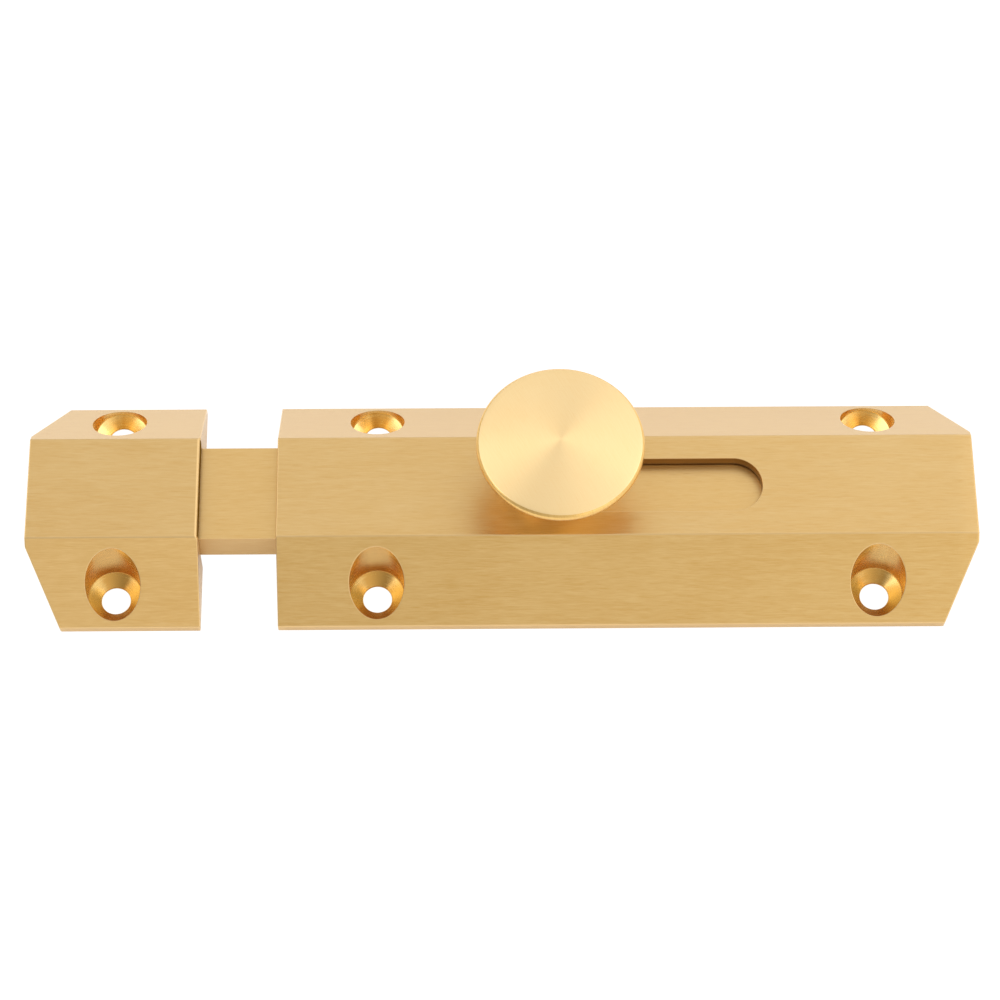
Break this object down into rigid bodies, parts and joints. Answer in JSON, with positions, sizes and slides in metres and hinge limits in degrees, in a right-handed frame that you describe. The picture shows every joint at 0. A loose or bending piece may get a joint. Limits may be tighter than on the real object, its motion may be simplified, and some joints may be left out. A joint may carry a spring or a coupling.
{
  "type": "surface slide bolt with keep",
  "caption": "Solid brass surface slide bolt with chamfered casing, slotted front, mushroom knob, flat sliding bar and a separate matching keep.",
  "frame": {"origin": "middle of the whole set's length and width with the bolt shot, on the plane of the door", "axes": "+Z out of the door, X along the bolt, which shoots towards -X into the keep, Y across"},
  "size_m": [0.1384, 0.036, 0.0256],
  "materials": {
    "satin_brass": "fine satin brushing along the length",
    "turned_brass": "satin, with fine turning marks round the axis",
    "plate_brass": "rolled sheet, unpolished",
    "spring_bronze": "hard rolled strip",
    "fastener_steel": "plain turned steel"
  },
  "bodies": {
    "casing_set": {"casing": "satin_brass", "back_plate": "plate_brass", "plate_screw_1": "fastener_steel", "plate_screw_2": "fastener_steel", "plate_screw_3": "fastener_steel", "plate_screw_4": "fastener_steel", "leaf_spring": "spring_bronze", "spring_rivet": "fastener_steel"},
    "sliding_bolt": {"bolt": "satin_brass", "knob": "turned_brass", "knob_screw": "fastener_steel"},
    "keep": {"keep": "satin_brass"}
  },
  "joints": [
    {"name": "bolt_slide", "type": "slide", "parent": "casing_set", "child": "sliding_bolt", "axis": [1, 0, 0], "range_m": [0, 0.0254]},
    {"name": "keep_off", "type": "slide", "parent": "casing_set", "child": "keep", "axis": [-1, 0, 0], "range_m": [0, 0.02]}
  ]
}
